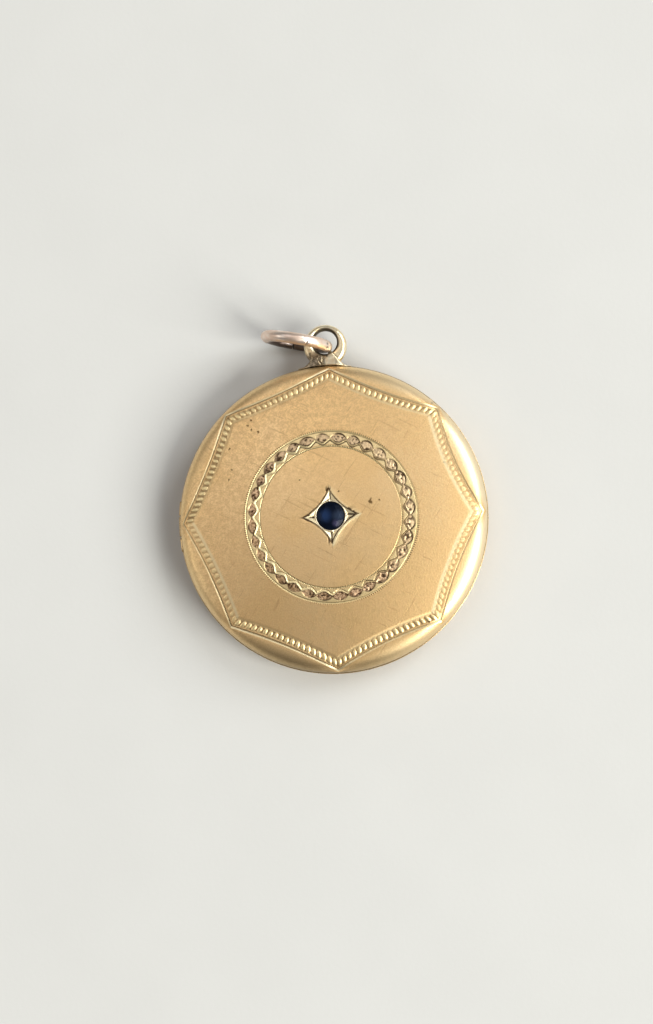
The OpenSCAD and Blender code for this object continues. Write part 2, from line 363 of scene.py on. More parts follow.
def star_relief(phi, r):
    """Depth and finish of the bright cut star, the grains and the rim round the stone, with painted
    highlights on the bevels, the grains and the rim.
    """
    x, y = r * np.cos(phi), r * np.sin(phi)
    inside = star_inside(x, y)
    in_star = inside > 0
    h = -np.minimum(0.03 + 0.42 * inside, STAR_DEPTH) * in_star
    # Painted highlight: the star's bevels are painted whiter
    painted_highlight = 0.55 * in_star
    side = np.floor(((phi - STAR_TURN) % TAU) / (TAU / 4)).astype(int) % 4
    place, half, dark = np.array(STAR_LINES)[side].T
    dirt_and_shade = dark * smooth(2.1 - 1.6 * np.abs(inside - place) / half)
    # The raised burr along two sides is painted lighter as a highlight
    raised = np.array((0.4, 0.0, 0.0, 1.0))[side] * bell(inside + 0.12, 0.1)
    for arm, start, end, half in STAR_STROKES:
        away = rod(on_arm(x, y, arm), start, end)
        dirt_and_shade = np.maximum(dirt_and_shade, smooth(2.2 - 1.7 * away / half))
    h = h + 0.05 * raised - 0.03 * dirt_and_shade * (inside < 0.05)
    rim = -RIM_DEPTH - 8 * (r - RIM_R) ** 2
    on_rim = rim > h
    # Painted highlight on the rim round the stone
    painted_highlight = np.where(on_rim, 1.0, painted_highlight)
    dirt_and_shade = np.where(on_rim, 0.1, dirt_and_shade)
    h = np.maximum(h, rim)
    for arm, far, shift, size in GRAINS:
        gap = size ** 2 - ((on_arm(x, y, arm) - (far, shift)) ** 2).sum(-1)
        ball = np.where(gap > 0, -0.15 + np.sqrt(np.clip(gap, 0, None)), -np.inf)
        # Painted highlight on each grain
        painted_highlight = np.where(ball > h, 1.0, painted_highlight)
        dirt_and_shade = np.where(ball > h, 0.0, dirt_and_shade)
        h = np.maximum(h, ball)
    return h, (np.maximum(raised, 0.9 * in_star), dirt_and_shade, 0.0, np.maximum(painted_highlight, 0.5 * raised))


def line_cut(x, width, depth):
    """A graver's line: a steep wall at the inner edge, then a slope that rises outwards over width."""
    fall = np.clip(x / WALL_W + 1, 0, 1)
    rise = np.clip(1 - x / width, 0, 1)
    return -depth * np.where(x < 0, fall, rise)


def on_cut(x, width):
    """1 on the polished slope of a graver's line."""
    return smooth((x + 0.015) / 0.015) * smooth((width - x) / 0.03)


def notches(phi, x, seed):
    """Tiny rolled notches beside a line, worn away in places."""
    worn = ripple(phi, seed, (1, 2, 3, 5, 9))
    wave = np.cos(NOTCHES * (phi - BORDER_TURN))
    return wave * smooth(1.3 - np.abs(x) / 0.1) * smooth(1.7 * worn - 0.1)


def leaf_noise():
    """Rows of fine random values round the band, with some to spare, smoothed both ways."""
    noise = np.random.default_rng(11).normal(size=(64, BAND_COLS))
    for axis in (0, 1, 0, 1):
        noise = 0.3 * np.roll(noise, 1, axis) + 0.4 * noise + 0.3 * np.roll(noise, -1, axis)
    return noise / noise.std()


LEAF_NOISE = leaf_noise()


def leaf_place(phi):
    """Place across a leaf, 0 in its middle and 0.5 at the gaps, and how worn this leaf is."""
    wander = 0.16 * (ripple(phi, 5, (5, 8, 13, 18)) - 0.5)
    place = (phi - LEAF_START) * LEAVES / TAU + wander
    leaf = np.floor(place + 0.5)
    return place - leaf, np.sin(leaf % LEAVES * 12.9898) * 0.5 + 0.5


def band_relief(phi, r, index):
    """Depth and finish of the band: two notched lines, a waved cut and a leaf over each wave, with
    painted sheen and highlights on the cuts and leaves and painted shade on the wave's right side and
    the leaves' ends.
    """
    h = painted_sheen = dirt_and_shade = np.zeros_like(phi)
    for middle, beside, seed in ((BAND_INNER_R, -0.02, 3), (BAND_OUTER_R, 0.1, 4)):
        x = r - middle + LINE_W / 2
        notch = notches(phi, r - middle - beside, seed)
        h = h + line_cut(x, LINE_W, LINE_DEPTH) - NOTCH_DEPTH * notch
        painted_sheen = np.maximum(painted_sheen, on_cut(x, LINE_W))
        dirt_and_shade = np.maximum(dirt_and_shade, np.maximum(0.6 * bell(x + 0.012, 0.03), notch))
    place, wear = leaf_place(phi)
    arch = np.cos(math.pi * place)
    # Towards the left the cuts are deeper and wider, and painted brighter as a highlight
    pressed_and_lit = smooth(0.5 - 0.6 * np.cos(phi))
    width = 0.16 + 0.15 * pressed_and_lit
    path = WAVE_R - WAVE_REACH * arch ** 1.3 - width / 2
    x = r - path
    h = h + line_cut(x, width, 0.06 + 0.065 * pressed_and_lit)
    cut = on_cut(x, width)
    painted_sheen = np.maximum(painted_sheen, (0.3 + 0.7 * pressed_and_lit) * cut)
    low = path + width + 0.01
    top = LEAF_TOP_R + LEAF_REACH * arch ** 0.75
    inside = np.minimum(r - low, top - r)
    leaf = smooth(inside / 0.05 + 0.5)
    grainy = LEAF_NOISE[index]
    sloped = np.clip((r - low) / np.maximum(top - low, 0.1), 0, 1)
    h = h - leaf * (0.025 + 0.06 * sloped + 0.012 * grainy)
    dark = np.max([near_angle(phi, *spot) for spot in ((0, 55), (130, 14), (237, 28))], 0)
    specks = smooth((grainy - 1.3 + 0.8 * dark + 0.5 * wear) / 0.4) * leaf
    edge = bell(inside, 0.085) * (0.3 + 0.85 * ripple(phi, 9, (9, 14, 23, 31)))
    # Painted shade: a dark line along the wave's wall on the right side
    side = smooth((0.5 + 0.7 * np.cos(phi - math.radians(20))) * 1.3)
    edge = np.maximum(edge * (r > low - 0.05), side * bell(x, 0.08))
    # Painted shade: one end of each leaf is darkened
    tip = leaf * smooth((place - 0.02) / 0.2) * (wear * pressed_and_lit + dark * (1 - pressed_and_lit))
    dirt_and_shade = np.max([dirt_and_shade, 0.95 * specks, 0.95 * smooth(1.5 * edge - 0.2), 0.6 * tip], 0)
    # Painted sheen: the ground between the cuts is painted lighter
    ground = smooth((r - 6.98) / 0.06) * smooth((8.22 - r) / 0.06) * (1 - leaf) * (1 - cut)
    painted_sheen = np.maximum(painted_sheen, 0.6 * ground)
    # Painted highlight: leaves are whiter towards the upper right, and their pink tone is stronger
    # towards the lower left
    worn = 0.2 + 0.8 * smooth(0.5 - 0.75 * np.cos(phi - math.radians(45)))
    painted_highlight = np.maximum(0.2 * cut * pressed_and_lit, 0.35 * leaf * (1 - worn))
    return h, (painted_sheen, dirt_and_shade, leaf * (0.3 + 0.7 * worn) * (0.6 + 0.4 * wear), painted_highlight)


def drift(phi, r):
    """How far the band's lines lie outside even circles."""
    share = smooth((r - BAND_INNER_R) / (BAND_OUTER_R - BAND_INNER_R))
    fade = smooth((r - 6.45) / 0.3) * smooth((9.1 - r) / 0.5)
    inner = BAND_INNER_DRIFT[0] * np.cos(phi - BAND_INNER_DRIFT[1])
    outer = BAND_OUTER_DRIFT[0] * np.cos(phi - BAND_OUTER_DRIFT[1])
    return fade * (inner * (1 - share) + outer * share)


class Border:
    """The border's eight arcs between its corners."""

    def __init__(self):
        angle = BORDER_TURN + TAU * np.arange(SIDES) / SIDES + CORNER_TURN
        radius = BORDER_R + np.array(CORNER_OUT)
        corner = radius[:, None] * np.stack([np.cos(angle), np.sin(angle)], 1)
        after = np.roll(corner, -1, 0)
        chord = np.linalg.norm(after - corner, axis=1)
        self.step = (after - corner) / chord[:, None]
        outward = np.stack([self.step[:, 1], -self.step[:, 0]], 1)
        self.arc_r = (chord ** 2 / 4 + SIDE_BEND ** 2) / (2 * SIDE_BEND)
        self.centre = (corner + after) / 2 + outward * (self.arc_r - SIDE_BEND)[:, None]
        self.half = np.arcsin(chord / 2 / self.arc_r)
        self.angle = angle

    def edge(self, phi):
        """Radius of the outline, which side it is on, and the place along that side from -1 to 1."""
        past = (phi - self.angle[0] + 1e-9) % TAU
        side = np.searchsorted(self.angle - self.angle[0], past, "right") - 1
        ray = np.stack([np.cos(phi), np.sin(phi)], 1)
        centre = self.centre[side]
        ahead = (ray * centre).sum(1)
        r = ahead - np.sqrt(ahead ** 2 - (centre ** 2).sum(1) + self.arc_r[side] ** 2)
        shift = ((r[:, None] * ray - centre) * self.step[side]).sum(1)
        return r, side, np.arcsin(shift / self.arc_r[side]) / self.half[side]

    def inside(self, phi, inward):
        """Radius of the outline moved inwards."""
        r, side, place = self.edge(phi)
        lean = np.abs(place) * (math.pi / SIDES + self.half[side])
        return r - inward / np.cos(lean)


border = Border()


def border_relief(phi, inward):
    """Depth and finish of the border: an outer line, a row of beads and a shallow inner groove, with
    painted sheen on the line, the beads' tops and the groove, and painted highlights on the line and the
    groove.
    """
    _, side, place = border.edge(phi)
    press = np.array(SIDE_PRESS)[side]
    worn = (0.5 + 0.5 * smooth(1.6 * ripple(phi, 21, (2, 3, 5, 8)) - 0.2)) * (0.4 + 0.6 * press)
    x = -BORDER_LINE_OUT - inward
    width = 0.11 + 0.06 * worn
    cut = on_cut(x, width)
    h = line_cut(x, width, BORDER_LINE_DEPTH * (0.5 + 0.5 * worn))
    # Painted sheen on the outer line's cut
    painted_sheen = cut * (0.4 + 0.6 * worn)
    dirt_and_shade = 0.8 * bell(x + 0.05, 0.055) * (0.55 + 0.45 * ripple(phi, 23, (2, 3, 5, 8)))
    bead = (place + 1) / 2 * BEADS
    cell = np.floor(bead)
    vary = np.sin(cell * 12.9898 + side * 78.233)
    u = (bead - cell - 0.5) / (0.37 + 0.04 * vary)
    v = (inward - BEAD_IN - 0.02 * np.sin(cell * 4.1 + side)) / (0.22 + 0.08 * press + 0.02 * vary)
    inside = 1 - np.abs(u) ** 2.2 - np.abs(v) ** 2.4
    channel = smooth((1.15 - np.abs(v)) / 0.25)
    h = h - 0.05 * press * channel + BEAD_HEIGHT * press * np.sqrt(np.clip(inside, 0, None))
    # Painted sheen on the beads' tops
    painted_sheen = np.maximum(painted_sheen, (0.3 + 0.35 * press) * smooth(inside * 3))
    dirt_and_shade = np.maximum(dirt_and_shade, 0.55 * press * channel * (1 - smooth(inside * 4 + 0.3)))
    groove = smooth(1 - np.abs(inward - GROOVE_IN) / (0.26 - 0.08 * press))
    h = h - (0.055 * press - 0.012) * groove
    # Sides cut less deeply get more painted sheen and a painted highlight on their groove
    painted_sheen = np.maximum(painted_sheen, (0.8 - 0.5 * press) * groove)
    dirt_and_shade = np.maximum(dirt_and_shade, 0.4 * press * bell(inward - GROOVE_IN + 0.04, 0.04))
    painted_highlight = np.maximum(0.55 * cut * worn, 0.6 * (1 - press) * groove)
    return h, (painted_sheen, dirt_and_shade, 0.0, painted_highlight)


# Rows of points: radii over the band, and distances inside the border's outline
BAND_ROWS = [6.62, 6.74, 6.783, 6.805, 6.82, 6.88, 6.955, 7.01, 7.06]
BAND_ROWS += [7.10 + 0.058 * i for i in range(18)]
BAND_ROWS += [8.16, 8.213, 8.235, 8.25, 8.31, 8.385, 8.43, 8.48, 8.53, 8.60]
BORDER_ROWS = [1.08, 0.98, 0.885, 0.80, 0.72, 0.65, 0.57, 0.48, 0.40, 0.32, 0.23, 0.15, 0.08, 0.02]
BORDER_ROWS += [-0.04, -0.078, -0.10, -0.115, -0.17, -0.24, -0.28]

# Painted sheen and dirt of the plain sides
PLAIN_INSIDE = (0.1, 0.2, 0, 0)
PLAIN_BACK = (0.35, 0, 0, 0)


def front_cover():
    """The domed front as one closed skin, from the seat over the outside and back to the cup."""
    lathe = Lathe()
    turn = STAR_TURN - BORDER_TURN
    lathe.pole(STONE_TIP_Z - 0.04)
    for share in (0.25, 0.6, 0.9):
        z = STONE_TIP_Z - 0.04 + (GIRDLE_Z - STONE_TIP_Z + 0.02) * share
        lathe.row(grid(PLAIN_COLS, turn), SEAT_R * share, z, (0.5, 0.3, 0, 0))
    phi = grid(FINE_COLS, turn)
    lathe.row(phi, SEAT_R, GIRDLE_Z, (0.5, 0.5, 0, 0))
    # A painted highlight on the top of the collar round the stone
    lathe.row(phi, SEAT_R, GIRDLE_Z + 0.1, (0, 0.3, 0, 0.8))
    edge = star_edge(phi)
    for share in (0, 0.03, *(0.08 + 0.06 * i for i in range(15)), 0.97, 1.0):
        r = SEAT_R + (edge - 0.012 - SEAT_R) * share
        skin_row(lathe, phi, along(r), *star_relief(phi, r))
    for beyond in (0.012, 0.04, 0.08, 0.13, 0.2, 0.3):
        skin_row(lathe, phi, along(edge + beyond), *star_relief(phi, edge + beyond))
    plain_r = 3.3
    skin_row(lathe, phi, along((edge + 0.3 + plain_r) / 2))
    for r in np.linspace(plain_r, 6.5, 6):
        bend = turn * float(smooth((6.0 - r) / 2.7))
        skin_row(lathe, grid(FINE_COLS, bend), along(r))
    phi = grid(BAND_COLS)
    for i, r in enumerate(BAND_ROWS):
        relief = band_relief(phi, np.full(BAND_COLS, r), i)
        skin_row(lathe, phi, along(r + drift(phi, r)), *relief)
    for share in (0.35, 0.75):
        phi = grid(BAND_COLS, uneven=share)
        inner = border.inside(phi, BORDER_ROWS[0])
        skin_row(lathe, phi, along(BAND_ROWS[-1] + (inner - BAND_ROWS[-1]) * share))
    phi = grid(BORDER_COLS, uneven=1)
    for inward in BORDER_ROWS:
        skin_row(lathe, phi, along(border.inside(phi, inward)), *border_relief(phi, inward))
    shoulder_rows(lathe)
    front_inside_rows(lathe)
    return lathe.build("front_engraved")


def shoulder_rows(lathe):
    """The front's shoulder and wall, down to the seam and its small round edge."""
    phi = grid(BAND_COLS, uneven=1)
    s_in = along(border.inside(phi, BORDER_ROWS[-1]))
    edge_z = front_seam(phi, COVER_R)
    start_z = edge_z + EDGE
    tilt = np.arccos(np.clip((start_z - SHOULDER_Z) / SHOULDER_R, 0, 1))
    on_bend = S_JOIN + SHOULDER_R * (tilt - JOIN)
    s_out = np.where(start_z > SHOULDER_Z, on_bend, S_SIDE + SHOULDER_Z - start_z)
    # Painted shade darkens the shoulder along the bottom, and a painted highlight whitens it round the
    # right side; the painted sheen grows towards the edge
    darkening = near_angle(phi, 262, 34)
    highlight_side = near_angle(phi, 12, 55)
    for share in (0.14, 0.3, 0.46, 0.62, 0.78, 0.9, 1.0):
        eased = smooth(2 * share)
        finish_and_light = (0.5 * share, 0.62 * eased * darkening, 0, 0.15 * share + 0.8 * eased * highlight_side)
        skin_row(lathe, phi, s_in + (s_out - s_in) * share, 0.0, finish_and_light)
    r_out = outline(s_out)[0]
    # Painted shade on the seam's round edge
    seam = (0.2, 0.9, 0, 0)
    lathe.row(phi, r_out - 0.012, edge_z + 0.012, seam)
    lathe.row(phi, r_out - EDGE, edge_z, seam)


def front_inside_rows(lathe):
    """The inside of the front's wall and dome, and the cup behind the stone."""
    phi = grid(FINE_COLS)
    wall_r = COVER_R - SHEET_T
    wall_z = front_seam(phi, wall_r)
    # Painted shade at the wall's lower edge in the seam
    lathe.row(phi, wall_r + 0.04, wall_z, (0.2, 0.9, 0, 0))
    lathe.row(phi, wall_r, wall_z + 0.04, (0.5, 0.2, 0, 0))
    phi = grid(PLAIN_COLS)
    inner_r = SHOULDER_R - SHEET_T
    lowest = front_seam(phi, wall_r) + 0.08
    for a in np.linspace(math.pi / 2, JOIN, 6)[1:]:
        z = np.maximum(SHOULDER_Z + inner_r * math.cos(a), lowest)
        lathe.row(phi, SHOULDER_X + inner_r * math.sin(a), z, PLAIN_INSIDE)
    for r in (11.0, 8.0, 5.0, 3.0, CUP_R + 0.25):
        lathe.row(phi, r, CASE_H - DOME_R + math.sqrt((DOME_R - SHEET_T) ** 2 - r * r), PLAIN_INSIDE)
    for r, z in ((CUP_R + 0.06, CASE_H - SHEET_T - 0.08), (CUP_R, CASE_H - SHEET_T - 0.3),
                 (CUP_R, CUP_BOTTOM + 0.1), (CUP_R - 0.03, CUP_BOTTOM + 0.03), (CUP_R - 0.1, CUP_BOTTOM),
                 (0.6, CUP_BOTTOM)):
        lathe.row(phi, r, z, PLAIN_INSIDE)
    lathe.pole(CUP_BOTTOM)


# Outline of the back cover: a flat, a dome, a round shoulder and a straight wall
BACK_JOIN = math.asin((CASE_R - SHOULDER_R) / (DOME_R - SHOULDER_R))
BASE_SAG = DOME_R - math.sqrt(DOME_R ** 2 - BASE_R ** 2)
BACK_DOME_Z = DOME_R - BASE_SAG
BACK_WALL_Z = BACK_DOME_Z - (DOME_R - SHOULDER_R) * math.cos(BACK_JOIN)
BACK_SHOULDER_X = CASE_R - SHOULDER_R


def back_cover():
    """The back's shell, from the middle of its inside over the lip and the ledge to its outside."""
    lathe = Lathe()
    phi = grid(FINE_COLS)
    lathe.pole(SHEET_T)
    lathe.row(phi, 4.0, SHEET_T, PLAIN_INSIDE)
    inner_r = DOME_R - SHEET_T
    flat = math.acos((BACK_DOME_Z - SHEET_T) / inner_r)
    for a in np.linspace(flat, BACK_JOIN, 7):
        lathe.row(phi, inner_r * math.sin(a), BACK_DOME_Z - inner_r * math.cos(a), PLAIN_INSIDE)
    bend_r = SHOULDER_R - SHEET_T
    for a in np.linspace(BACK_JOIN, math.pi / 2, 6)[1:]:
        r = min(BACK_SHOULDER_X + bend_r * math.sin(a), CASE_R - SHEET_T - 0.01)
        lathe.row(phi, r, BACK_WALL_Z - max(bend_r * math.cos(a), 0.02), PLAIN_INSIDE)
    for r, z in ((LIP_IN_R + EDGE, BACK_WALL_Z), (LIP_IN_R, BACK_WALL_Z + EDGE),
                 (LIP_IN_R, LIP_TOP - 0.1), (LIP_IN_R + 0.04, LIP_TOP - 0.02),
                 (LIP_IN_R + 0.12, LIP_TOP), (LIP_OUT_R - 0.12, LIP_TOP),
                 (LIP_OUT_R - 0.03, LIP_TOP - 0.04), (LIP_OUT_R, LIP_TOP - 0.14)):
        lathe.row(phi, r, z, PLAIN_INSIDE)
    # Painted shade in the corner at the lip's foot and on the faces in the seam between the covers
    lathe.row(phi, LIP_OUT_R, BACK_TOP + EDGE, (0.4, 0.4, 0, 0))
    lathe.row(phi, LIP_OUT_R + EDGE, BACK_TOP, (0.4, 0.4, 0, 0))
    for r in (14.32, 14.5, 14.7, 14.85):
        lathe.row(phi, r, back_seam(phi, r), (0.3, 0.75, 0, 0))
    top = back_seam(phi, CASE_R)
    lathe.row(phi, CASE_R - 0.06, top, (0.3, 0.5, 0, 0))
    lathe.row(phi, CASE_R - 0.015, top - 0.015, (0.5, 0.1, 0, 0))
    start_z = top - 0.06
    on_wall = start_z > BACK_WALL_Z
    tilt = np.where(on_wall, math.pi / 2, np.arccos(np.clip((BACK_WALL_Z - start_z) / SHOULDER_R, 0, 1)))
    for share in np.linspace(0, 1, 11):
        a = tilt * (1 - share) + BACK_JOIN * share
        above = np.where(on_wall, (start_z - BACK_WALL_Z) * max(0.0, 1 - 4 * share), 0)
        r = BACK_SHOULDER_X + SHOULDER_R * np.sin(a)
        lathe.row(phi, r, BACK_WALL_Z - SHOULDER_R * np.cos(a) + above, (0.4, 0, 0, 0))
    flat = math.asin(BASE_R / DOME_R)
    for share in np.linspace(0, 1, 9)[1:]:
        a = BACK_JOIN * (1 - share) + flat * share
        lathe.row(phi, DOME_R * math.sin(a), BACK_DOME_Z - DOME_R * math.cos(a), PLAIN_BACK)
    for r in (BASE_R - 0.4, 4.0):
        lathe.row(phi, r, 0.0, PLAIN_BACK)
    lathe.pole(0.0)
    return lathe.build("back_shell")


def knuckle(name, y0, y1):
    """A hinge knuckle: a bored tube along Y with small round edges, filed back to the case's round."""
    n = 48
    a = TAU * (np.arange(n) + 0.5) / n
    e = 0.03
    outer = [(BARREL_R, y) for y in np.linspace(y0 + e, y1 - e, 7)]
    profile = [(BORE_R, y0 + e), (BORE_R + e, y0), (BARREL_R - e, y0), *outer]
    profile += [(BARREL_R - e, y1), (BORE_R + e, y1), (BORE_R, y1 - e)]
    verts = np.concatenate([np.stack([HINGE_X + r * np.cos(a), np.full(n, y), SEAM_Z + r * np.sin(a)], 1)
                            for r, y in profile])
    verts[:, 0] = np.maximum(verts[:, 0], -np.sqrt(FILE_R ** 2 - verts[:, 1] ** 2))
    j = np.arange(n)
    k = (j + 1) % n
    rows = len(profile)
    quads = [np.stack([i * n + j, i * n + k, (i + 1) % rows * n + k, (i + 1) % rows * n + j], 1)
             for i in range(rows)]
    return build(name, verts, quads, np.tile([0.3, 0.35, 0, 0], (len(verts), 1)))


def surface_nets(field, low, step):
    """Points and four sided faces of the surface where a sampled field changes sign."""
    neg = field < 0
    nx, ny, nz = (n - 1 for n in field.shape)
    corners = [(i, j, k) for i in (0, 1) for j in (0, 1) for k in (0, 1)]

    def at(a, c):
        return a[c[0]:c[0] + nx, c[1]:c[1] + ny, c[2]:c[2] + nz]

    count = sum(at(neg, c).astype(int) for c in corners)
    active = (count > 0) & (count < 8)
    total = np.zeros((nx, ny, nz, 3))
    hits = np.zeros((nx, ny, nz))
    for c in corners:
        for axis in range(3):
            if c[axis]:
                continue
            d = list(c)
            d[axis] = 1
            f0, f1 = at(field, c), at(field, d)
            cross = (f0 < 0) != (f1 < 0)
            t = np.where(cross, f0 / np.where(cross, f0 - f1, 1), 0)
            total += cross[..., None] * c
            total[..., axis] += t
            hits += cross
    base = np.stack(np.meshgrid(np.arange(nx), np.arange(ny), np.arange(nz), indexing="ij"), -1)
    verts = (base + total / np.maximum(hits, 1)[..., None])[active] * step + low
    index = np.full((nx, ny, nz), -1)
    index[active] = np.arange(active.sum())
    quads = []
    for axis in range(3):
        u, v = (axis + 1) % 3, (axis + 2) % 3
        sign = np.moveaxis(neg, (axis, u, v), (0, 1, 2))
        cell = np.moveaxis(index, (axis, u, v), (0, 1, 2))
        flip = sign[:-1, 1:-1, 1:-1] != sign[1:, 1:-1, 1:-1]
        inward = sign[:-1, 1:-1, 1:-1] & flip
        quad = np.stack([cell[:, :-1, :-1], cell[:, 1:, :-1], cell[:, 1:, 1:], cell[:, :-1, 1:]], -1)
        quads.append(quad[inward])
        quads.append(quad[flip & ~inward][:, ::-1])
    return verts, np.concatenate(quads)


def blend(a, b, k):
    """Smooth union of two distance fields."""
    t = np.clip(0.5 + 0.5 * (b - a) / k, 0, 1)
    return b * (1 - t) + a * t - k * t * (1 - t)


def slab(plan, height, half, edge):
    """Distance to a plate with rounded edges, from a distance in plan and a height."""
    a, b = plan + edge, np.abs(height) - half + edge
    return np.minimum(np.maximum(a, b), 0) + np.hypot(np.maximum(a, 0), np.maximum(b, 0)) - edge


# Short grooves of old solder on the neck: from, to and half width, in plan
NECK_GROOVES = (((-0.80, 15.95), (-0.62, 15.4), 0.08), ((-0.62, 15.4), (-0.40, 15.1), 0.07),
                ((-1.50, 16.2), (-1.42, 15.7), 0.07), ((0.74, 16.2), (1.27, 15.5), 0.04),
                ((0.16, 16.05), (0.14, 15.85), 0.06), ((-0.28, 15.75), (-0.30, 15.35), 0.05))
# A short ridge of solder between them
NECK_RIDGE = ((-0.46, 15.85, 2.93), (-0.34, 15.3, 2.9))


def bail():
    """The bail: a loop on a flared neck with a raised plate on one side and grooves of old solder."""
    step = 0.045
    low = np.array([-3.3, 14.3, 1.7])
    top = np.array([2.6, 19.25, 3.35])
    n = np.ceil((top - low) / step).astype(int) + 1
    axes = [low[i] + step * np.arange(n[i]) for i in range(3)]
    p = np.stack(np.meshgrid(*axes, indexing="ij"), -1)
    x, y, z = np.moveaxis(p, -1, 0)
    plan = np.maximum(np.hypot(x, y - LOOP_Y) - LOOP_R, HOLE_R - np.hypot(x, y - HOLE_Y))
    loop = slab(plan, z - SEAM_Z, BAIL_HALF, 0.45)
    nx = x + 0.14
    sides = FLARE_R - np.hypot(np.abs(nx) - FLARE_X, y - FLARE_Y)
    plan = np.maximum(np.maximum(y - 15.9, 14.2 - y), np.maximum(sides, np.abs(nx) - 2.6))
    half = BAIL_HALF - 0.36 * smooth((np.abs(nx) - 1.0) / 1.5)
    shape = blend(loop, slab(plan, z - SEAM_Z, half, 0.16), 0.14)
    slant = (x - 0.72) * 0.786 + (y - FLARE_Y) * 0.618
    plan = np.maximum(np.maximum(0.16 + 0.2 * (y - 15.6) - x, slant), np.maximum(14.6 - y, sides))
    shape = blend(shape, slab(plan, z - SEAM_Z, half + 0.08, 0.1), 0.05)
    shape = blend(shape, rod(p, *NECK_RIDGE) - 0.2, 0.1)
    for a, b, r in NECK_GROOVES:
        shape = -blend(-shape, rod(p, (*a, 3.14), (*b, 3.14)) - r, 0.05)
    bumps = np.sin(x * 9 + 1.3 * np.sin(y * 7)) * np.sin(y * 11 + x * 3) * np.sin(z * 8 + 1)
    left = smooth((0.4 - x) / 1.2) * smooth((16.3 - y) / 0.5)
    shape = shape + bumps * (0.004 + 0.02 * left)
    dist = np.hypot(x, y)
    shape = np.maximum(shape, np.where(z > BACK_TOP, COVER_R + 0.06 - dist, 14.8 - dist))
    verts, quads = surface_nets(shape, low, step)
    vx, vy, vz = verts.T
    hole = np.hypot(vx, vy - HOLE_Y)
    # Painted shade inside the hole
    dirt_and_shade = 0.9 * smooth((HOLE_R + 0.27 - hole) / 0.12)
    pits = 0.5 + 0.5 * np.sin(vx * 17 + 2 * np.sin(vy * 13)) * np.sin(vy * 19 + vx * 5)
    left = smooth((0.12 - vx) / 0.3) * smooth((16.2 - vy) / 0.4) * smooth((vx + 2.2) / 0.8)
    dirt_and_shade = np.maximum(dirt_and_shade, 0.6 * left * (0.4 + pits))
    for a, b, r in NECK_GROOVES:
        dirt_and_shade = np.maximum(dirt_and_shade, 0.95 * bell(rod(verts[:, :2], a, b), 1.1 * r) * (vz > 2.7))
    # Darker on the left half of the neck and towards the case
    worn = smooth((0.5 - vx) / 1.5) * smooth((16.4 - vy) / 0.5)
    none = np.zeros_like(vx)
    darkening = np.maximum(0.7 * worn, 0.35 * smooth((16.0 - vy) / 0.7))
    return build("bail_loop", verts, [quads], np.stack([none, dirt_and_shade, darkening, none], 1))


# Pits of wear: degrees round the ring, angle round the wire and size
RING_PITS = ((24, -0.24, 0.12), (22, 0.4, 0.13), (40, 1.3, 0.1), (-4, 0.9, 0.08))


def jump_ring():
    """A standing ring of round wire with a butted cut, a nick, worn pits and slight unevenness, with
    painted shade on its lower half and cut ends.
    """
    centre = np.array([*RING_SPOT, RING_R * math.cos(RING_LEAN) + WIRE_R])
    half_gap = RING_GAP / 2 / RING_R
    rows, cols = 300, 48
    t = np.concatenate([[0, 0.004], np.linspace(0.012, 0.988, rows - 4), [0.996, 1]])
    angle = RING_CUT + half_gap + (TAU - 2 * half_gap) * t
    end = np.minimum(t, 1 - t) * TAU * RING_R
    shrink = np.where(end < 0.08, 0.9 + 0.1 * np.sqrt(np.clip(end / 0.08, 0, 1)), 1.0)
    a, b = np.meshgrid(angle, TAU * np.arange(cols) / cols, indexing="ij")
    wave = 0.006 * np.sin(7 * a + 1) * np.cos(2 * b) + 0.004 * np.sin(17 * a + 3 * np.sin(b))
    nick = bell((a - math.radians(66)) * RING_R, 0.05) * np.clip(np.cos(b - 0.9), 0, 1)
    pits = np.zeros_like(a)
    for pit_a, pit_b, size in RING_PITS:
        along_wire = ((a - math.radians(pit_a) + math.pi) % TAU - math.pi) * RING_R
        round_wire = ((b - pit_b + math.pi) % TAU - math.pi) * WIRE_R
        pits = np.maximum(pits, bell(np.hypot(along_wire, round_wire), size))
    w = WIRE_R * shrink[:, None] + wave - 0.07 * nick - 0.03 * pits - 0.002
    across = RING_R + w * np.cos(b)
    frame_x = np.array([math.cos(RING_TURN), math.sin(RING_TURN), 0])
    level = np.array([-math.sin(RING_TURN), math.cos(RING_TURN), 0])
    normal = math.cos(RING_LEAN) * level + np.array([0, 0, math.sin(RING_LEAN)])
    frame_z = np.cross(frame_x, normal)
    place = np.stack([across * np.cos(a), across * np.sin(a), -w * np.sin(b)], -1)
    verts = (place @ np.array([frame_x, frame_z, normal])).reshape(-1, 3) + centre
    j = np.arange(cols)
    k = (j + 1) % cols
    quads = [np.stack([i * cols + j, (i + 1) * cols + j, (i + 1) * cols + k, i * cols + k], 1)
             for i in range(rows - 1)]
    tips = [centre + RING_R * (math.cos(e) * frame_x + math.sin(e) * frame_z)
            for e in (angle[0], angle[-1])]
    first, last = len(verts), len(verts) + 1
    end_row = (rows - 1) * cols
    tris = [np.stack([np.full(cols, first), j, k], 1),
            np.stack([np.full(cols, last), end_row + k, end_row + j], 1)]
    # Nick and pits are dirt; the cut ends are painted dark as shade in the gap
    dirt_and_shade = np.maximum(np.maximum(0.6 * nick, 0.95 * pits), 0.8 * (end[:, None] < 0.03))
    # Painted shade: the lower half of the ring is darkened
    darkening = smooth((-np.sin(a) + 0.25) / 0.6)
    none = np.zeros(a.size)
    marks = np.stack([none, dirt_and_shade.ravel(), darkening.ravel(), none], 1)
    marks = np.concatenate([marks, [[0, 0.9, 0.5, 0]] * 2])
    return build("jump_ring_wire", np.concatenate([verts, tips]), quads + tris, marks)


